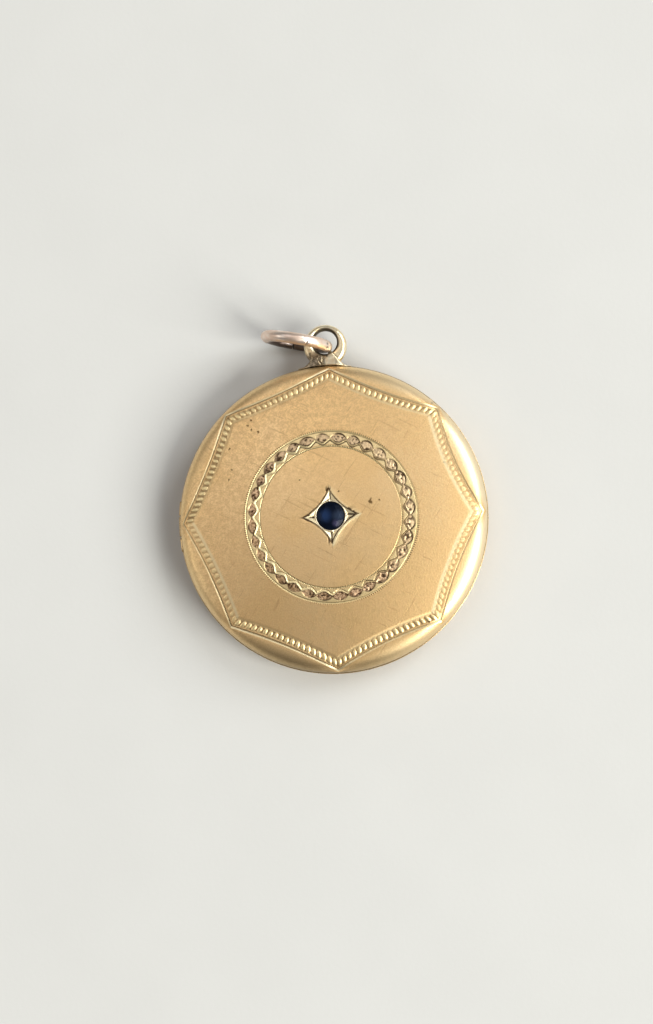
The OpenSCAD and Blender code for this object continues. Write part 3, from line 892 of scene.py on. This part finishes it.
def stone():
    """A round stone with a table, star, kite and girdle facets, and a faceted point below."""
    table_r, girdle_r, girdle_top, table_z, tip_z = 0.81, 1.345, 5.2, 5.5, 4.2
    slope = (table_z - girdle_top) / (girdle_r - table_r)
    lower = (GIRDLE_Z - tip_z) / girdle_r
    eighth = TAU / 8

    def ring(n, r, z, turn=0.0):
        a = turn + TAU * np.arange(n) / n
        return np.stack([r * np.cos(a), r * np.sin(a), np.full(n, z)], 1)

    kite_r, low_r = 1.09, 0.42
    kite_z = table_z - slope * (kite_r * math.cos(eighth / 2) - table_r)
    low_z = tip_z + lower * low_r * math.cos(eighth / 2)
    verts = np.concatenate([
        ring(8, table_r, table_z), ring(8, kite_r, kite_z, eighth / 2), ring(32, girdle_r, girdle_top),
        ring(32, girdle_r, GIRDLE_Z), ring(8, low_r, low_z, eighth / 2), np.array([[0, 0, tip_z]])])
    kite, top, girdle, low, tip = 8, 16, 48, 80, 88
    eights, fours, threes = [list(range(8))], [], []
    for i in range(8):
        before = (i + 7) % 8
        threes.append([i, kite + i, (i + 1) % 8])
        a, b = ([start + (4 * i + m) % 32 for m in range(5)] for start in (top, girdle))
        fours += [[i, kite + before, a[0], kite + i], [kite + i, *a[:3]], [kite + i, *a[2:]],
                  [low + i, *b[2::-1]], [low + i, *b[:1:-1]], [tip, low + i, b[0], low + before]]
    for m in range(32):
        after = (m + 1) % 32
        fours.append([top + m, girdle + m, girdle + after, top + after])
    return build("stone_cut", verts, [eights, fours, threes], shade=False)


class Nodes:
    """A material, and short ways to add its shader nodes."""

    def __init__(self, name):
        self.mat = bpy.data.materials.new(name)
        self.mat.use_nodes = True
        self.tree = self.mat.node_tree
        self.tree.nodes.clear()
        self.shader = self.add("ShaderNodeBsdfPrincipled")
        self.add("ShaderNodeOutputMaterial", {"Surface": self.shader.outputs["BSDF"]})
        self.place = self.add("ShaderNodeTexCoord").outputs["Object"]

    def add(self, kind, inputs=None, **props):
        """A node with its options set, and its inputs linked or set."""
        node = self.tree.nodes.new(kind)
        for key, value in props.items():
            setattr(node, key, value)
        for key, value in (inputs or {}).items():
            self.put(node.inputs[key], value)
        return node

    def put(self, socket, value):
        """Links or sets an input, or leaves it as it is if the value is None."""
        if hasattr(value, "is_output"):
            self.tree.links.new(value, socket)
        elif value is not None:
            socket.default_value = value

    def noise(self, size_mm, detail=3.0, rough=0.55, stretch=None):
        """Noise with spots about size_mm across, or lines if stretch gives three scales and a turn."""
        place = self.place
        if stretch:
            *scale, turn = stretch
            inputs = {"Vector": place, "Scale": [1 / s for s in scale], "Rotation": (0, 0, turn)}
            place = self.add("ShaderNodeMapping", inputs, vector_type="TEXTURE").outputs["Vector"]
        inputs = {"Vector": place, "Scale": 1 / (size_mm * MM), "Detail": detail, "Roughness": rough}
        return self.add("ShaderNodeTexNoise", inputs).outputs["Fac"]

    def remap(self, value, a, b, c=0.0, d=1.0):
        """Eases from c to d while the value goes from a to b."""
        inputs = {"Value": value, "From Min": a, "From Max": b, "To Min": c, "To Max": d}
        return self.add("ShaderNodeMapRange", inputs, interpolation_type="SMOOTHSTEP").outputs["Result"]

    def math(self, kind, a, b=0.0):
        return self.add("ShaderNodeMath", {0: a, 1: b}, operation=kind).outputs[0]

    def mix(self, factor, a, b):
        inputs = {"Factor": factor, "A": a, "B": b}
        return self.add("ShaderNodeMix", inputs, data_type="RGBA").outputs["Result"]

    def tint(self, base, mask, share, colour):
        """Mixes in a colour where a mask is, up to a share."""
        return self.mix(self.math("MULTIPLY", mask, share), base, colour)

    def bump(self, height, depth_mm, normal=None):
        inputs = {"Strength": 1.0, "Distance": depth_mm * MM, "Height": height, "Normal": normal}
        return self.add("ShaderNodeBump", inputs).outputs["Normal"]

    def surface(self, colour, rough, normal=None, metallic=0.0):
        """Gives the shader its values and returns the material."""
        values = {"Base Color": colour, "Roughness": rough, "Metallic": metallic, "Normal": normal}
        for key, value in values.items():
            self.put(self.shader.inputs[key], value)
        return self.mat

    def finish_and_light(self):
        """The four painted masks: sheen, dirt and shade, the worn leaf on the front and darkening on
        other parts, and highlight.
        """
        node = self.add("ShaderNodeAttribute", attribute_name="finish_and_light", attribute_type="GEOMETRY")
        split = self.add("ShaderNodeSeparateColor", {"Color": node.outputs["Color"]})
        return (*(split.outputs[key] for key in ("Red", "Green", "Blue")), node.outputs["Alpha"])

    def from_axis(self):
        """Position with its height left out."""
        inputs = {0: self.place, 1: (1, 1, 0)}
        return self.add("ShaderNodeVectorMath", inputs, operation="MULTIPLY").outputs[0]

    def distance(self, plan, x, y):
        """Distance in plan from a point, in metres."""
        inputs = {0: plan, 1: (x * MM, y * MM, 0)}
        return self.add("ShaderNodeVectorMath", inputs, operation="DISTANCE").outputs["Value"]


def rgb(*parts):
    """A colour given in the usual 0 to 255 values, as the shader wants it."""
    parts = (v / 255 for v in parts)
    return (*(v / 12.92 if v <= 0.04045 else ((v + 0.055) / 1.055) ** 2.4 for v in parts), 1.0)


# Dark specks on the front: place and radius, in millimetres
SPECKS = ((3.86, 1.14, 0.23), (3.92, 1.4, 0.15), (-7.4, 9.78, 0.13), (-7.72, 9.3, 0.15),
          (-7.35, 8.86, 0.13), (-6.7, 8.6, 0.16), (-9.6, 7.1, 0.13), (-9.74, 4.08, 0.12),
          (-9.4, 5.03, 0.1), (-2.77, 3.62, 0.1), (10.17, 10.62, 0.14), (11.04, 4.67, 0.1),
          (8.8, -10.51, 0.13), (0.9, 2.3, 0.09), (4.7, 1.3, 0.08))


def engraved_gold():
    """Satin gold with fine scratches, painted sheen on its cuts, dirt and painted shade, worn pinkish
    leaves and painted highlights, as on the white star.
    """
    n = Nodes("engraved_gold")
    painted_sheen, dirt_and_shade, leaf, painted_highlight = n.finish_and_light()
    plan = n.from_axis()
    broad = n.remap(n.noise(8.0, 2.0), 0.38, 0.62)
    patch = n.remap(n.noise(0.5, 4.0, 0.62), 0.34, 0.66)
    fine = n.remap(n.noise(0.16, 3.0, 0.6), 0.36, 0.66)
    field = n.mix(broad, rgb(255, 217, 161), rgb(253, 212, 151))
    mottled = n.remap(n.distance(plan, 0, 0), 6.7 * MM, 6.9 * MM, 0.32, 0.5)
    field = n.tint(field, patch, mottled, rgb(214, 175, 128))
    field = n.tint(field, fine, mottled, rgb(204, 168, 114))
    scratches = 0.0
    for size, turn in ((0.4, 0.95), (0.34, -0.5)):
        line = n.remap(n.noise(size, 2.0, 0.5, (0.06, 1.4, 1.0, turn)), 0.66, 0.71)
        scratches = n.math("MAXIMUM", scratches, line)
    field = n.tint(field, scratches, 0.3, rgb(176, 138, 94))
    ragged = n.math("MULTIPLY", n.math("SUBTRACT", n.noise(0.2), 0.5), 0.5 * MM)
    specks = 0.0
    for x, y, size in SPECKS:
        away = n.math("ADD", n.distance(plan, x, y), ragged)
        specks = n.math("MAXIMUM", specks, n.remap(away, 0.4 * size * MM, 1.1 * size * MM, 1.0, 0.0))
    field = n.tint(field, specks, 0.9, rgb(104, 76, 40))
    # Painted sheen: cuts and polished parts are painted lighter
    colour = n.mix(painted_sheen, field, rgb(255, 234, 178))
    grainy = n.remap(n.noise(0.2), 0.4, 0.6)
    worn = n.mix(grainy, rgb(248, 208, 168), rgb(134, 98, 72))
    colour = n.mix(leaf, colour, worn)
    # Painted highlight
    colour = n.mix(painted_highlight, colour, rgb(244, 228, 196))
    # Dirt and painted shade
    colour = n.tint(colour, dirt_and_shade, 0.95, rgb(54, 32, 18))
    rough = n.remap(patch, 0.0, 1.0, 0.42, 0.47)
    rough = n.math("ADD", rough, n.remap(fine, 0.0, 1.0, -0.02, 0.03))
    rough = n.remap(painted_sheen, 0.0, 1.0, rough, 0.42)
    rough = n.math("MAXIMUM", rough, n.math("MULTIPLY", leaf, 0.42))
    rough = n.remap(painted_highlight, 0.0, 1.0, rough, 0.46)
    rough = n.math("MAXIMUM", rough, n.math("MULTIPLY", dirt_and_shade, 0.6))
    normal = n.bump(fine, 0.0035)
    normal = n.bump(n.noise(0.07, 2.0), 0.004, normal)
    normal = n.bump(n.math("MULTIPLY", scratches, -1.0), 0.002, normal)
    return n.surface(colour, rough, normal, 1.0)


def worn_gold(name, light, mid, dark, rough_low, rough_high):
    """Plain worn gold with fine scratches and soft blotches, darkened where the mesh marks dirt, painted
    shade or other darkening.
    """
    n = Nodes(name)
    _, dirt_and_shade, darkening, _ = n.finish_and_light()
    patch = n.remap(n.noise(1.1, 4.0, 0.6), 0.36, 0.66)
    fine = n.remap(n.noise(0.18, 3.0, 0.6), 0.36, 0.66)
    colour = n.mix(patch, light, mid)
    colour = n.tint(colour, fine, 0.25, mid)
    # Darkening: painted shade on the ring's lower half, and a darker left half and foot on the bail's
    # neck
    colour = n.tint(colour, darkening, 0.85, dark)
    colour = n.tint(colour, dirt_and_shade, 0.93, rgb(44, 32, 20))
    rough = n.remap(patch, 0.0, 1.0, rough_low, rough_high)
    rough = n.math("MAXIMUM", rough, n.math("MULTIPLY", dirt_and_shade, 0.55))
    across = n.remap(n.noise(0.8, 2.0, 0.5, (0.04, 1.3, 1.0, 0.5)), 0.62, 0.70)
    normal = n.bump(fine, 0.003)
    normal = n.bump(n.math("MULTIPLY", across, -1.0), 0.002, normal)
    normal = n.bump(patch, 0.006, normal)
    return n.surface(colour, rough, normal, 1.0)


def blue_stone():
    """Very dark blue stone with painted light: a paler patch on one side and a hint of violet on the
    other stand in for light seen in the stone.
    """
    n = Nodes("blue_stone")
    plan = n.from_axis()
    colour = rgb(6, 12, 26)
    # Painted light: paler and violet patches stand in for light seen in the stone
    for x, y, size, patch in ((-0.55, 0.05, 0.95, rgb(26, 42, 72)), (0.72, -0.05, 0.8, rgb(38, 47, 64)),
                              (0.5, -0.75, 0.5, rgb(52, 49, 72))):
        near = n.remap(n.distance(plan, x, y), 0.1 * size * MM, size * MM, 1.0, 0.0)
        colour = n.mix(near, colour, patch)
    n.shader.inputs["IOR"].default_value = 1.42
    n.shader.inputs["Specular IOR Level"].default_value = 0.12
    return n.surface(colour, 0.25)


def floor_paper():
    """Plain pale matt card for the floor."""
    n = Nodes("pale_card")
    tone = n.remap(n.noise(14.0), 0.3, 0.7)
    colour = n.mix(tone, rgb(203, 201, 197), rgb(205, 203, 199))
    return n.surface(colour, 0.9, n.bump(n.noise(0.5), 0.01))


def paint(obj, mat):
    obj.data.materials.clear()
    obj.data.materials.append(mat)


satin = engraved_gold()
case = worn_gold("case_gold", rgb(242, 210, 158), rgb(224, 188, 136), rgb(150, 116, 74), 0.26, 0.34)
bail_gold = worn_gold("bail_gold", rgb(255, 244, 214), rgb(240, 216, 172), rgb(160, 132, 104),
                      0.28, 0.38)
# The ring's darkest colour is the painted shade on its lower half
ring_gold = worn_gold("ring_gold", rgb(246, 230, 218), rgb(236, 208, 188), rgb(80, 70, 68), 0.34, 0.44)
pin_gold = worn_gold("pin_gold", rgb(214, 180, 124), rgb(180, 146, 96), rgb(120, 92, 60), 0.3, 0.42)

# Each piece with its material, the body it rides, the solid it replaces and its slot
mid_y, inner_y, outer_y = MIDDLE_LEN / 2, MIDDLE_LEN / 2 + KNUCKLE_GAP, HINGE_LEN / 2
for obj, mat, body, node, slot in (
    (front_cover(), satin, "cover", "front_cover", "engraved_gold"),
    (knuckle("front_knuckle", -mid_y, mid_y), case, "cover", "front_cover", "engraved_gold"),
    (back_cover(), case, "back", "back_cover", "case_gold"),
    (bail(), bail_gold, "back", "back_cover", "case_gold"),
    (knuckle("back_knuckle_top", inner_y, outer_y), case, "back", "back_cover", "case_gold"),
    (knuckle("back_knuckle_low", -outer_y, -inner_y), case, "back", "back_cover", "case_gold"),
    (jump_ring(), ring_gold, "back", "jump_ring", "ring_gold"),
    (stone(), blue_stone(), "cover", "stone", "blue_stone"),
):
    paint(obj, mat)
    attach(obj, body)
    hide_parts(node)
paint(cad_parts["hinge_pin"], pin_gold)

# The floor lies a hair below the part
FLOOR_SIZE = 5.0
FLOOR_Z = -0.00001
bpy.ops.mesh.primitive_plane_add(size=FLOOR_SIZE, location=(0, 0, FLOOR_Z))
floor = bpy.context.object
floor.name = "floor"
paint(floor, floor_paper())

world = bpy.data.worlds.new("studio")
bpy.context.scene.world = world
world.use_nodes = True
glow = world.node_tree.nodes["Background"].inputs
glow["Color"].default_value = (1.0, 0.97, 0.93, 1.0)
glow["Strength"].default_value = 0.2

# Square soft lights aimed at the case: name, degrees round from +X, degrees up, power and colour
LIGHT_AWAY = 1.26
LIGHT_SIZE = 0.72
for name, around, above, power, colour in (
    ("key", -30, 35, 19.8, (0.98, 1.0, 0.96)),
    ("side", 30, 35, 9.9, (0.95, 1.0, 1.03)),
    ("top", 120, 62, 1.9, (1.0, 1.0, 1.03)),
    ("rim", 180, 35, 2.0, (1.0, 0.97, 0.9)),
):
    light = bpy.data.lights.new(name, "AREA")
    light.size = LIGHT_SIZE
    light.energy = power
    light.color = colour
    lamp = bpy.data.objects.new(name, light)
    a, e = math.radians(around), math.radians(above)
    toward = np.array([math.cos(a) * math.cos(e), math.sin(a) * math.cos(e), math.sin(e)])
    lamp.location = toward * LIGHT_AWAY
    lamp.rotation_euler = Vector(-toward).to_track_quat("-Z", "Y").to_euler()
    bpy.context.scene.collection.objects.link(lamp)

# Camera: turned, tilted and moved as the photograph was taken, almost straight above
VIEW_TURN = math.radians(2.59)
VIEW_TILT = math.radians(8.0)
VIEW_TOWARD = math.radians(-48.3)
VIEW_DIST = 220.0
VIEW_SHIFT = (-0.65, 0.65)
VIEW_SCALE = 10.333
PIXELS_HIGH = 1024

view_x = np.array([math.cos(VIEW_TURN), -math.sin(VIEW_TURN), 0])
view_y = np.array([math.sin(VIEW_TURN), math.cos(VIEW_TURN), 0])
back = math.sin(VIEW_TILT) * (math.cos(VIEW_TOWARD) * view_x + math.sin(VIEW_TOWARD) * view_y)
back = back + np.array([0, 0, math.cos(VIEW_TILT)])
right = np.cross(view_y, back)
right = right / np.linalg.norm(right)
up = np.cross(back, right)
spot = np.array([0, 0, SEAM_Z]) + VIEW_SHIFT[0] * right + VIEW_SHIFT[1] * up + VIEW_DIST * back

cam_data = bpy.data.cameras.new("camera")
cam_data.sensor_width = 36.0
cam_data.lens = VIEW_SCALE * VIEW_DIST / PIXELS_HIGH * cam_data.sensor_width
cam_data.clip_start = 0.005
cam_data.clip_end = 5.0
cam = bpy.data.objects.new("camera", cam_data)
cam.matrix_world = Matrix([*np.stack([right, up, back, spot * MM], 1).tolist(), (0, 0, 0, 1)])
bpy.context.scene.collection.objects.link(cam)
bpy.context.scene.camera = cam
bpy.context.scene.view_settings.view_transform = "Standard"
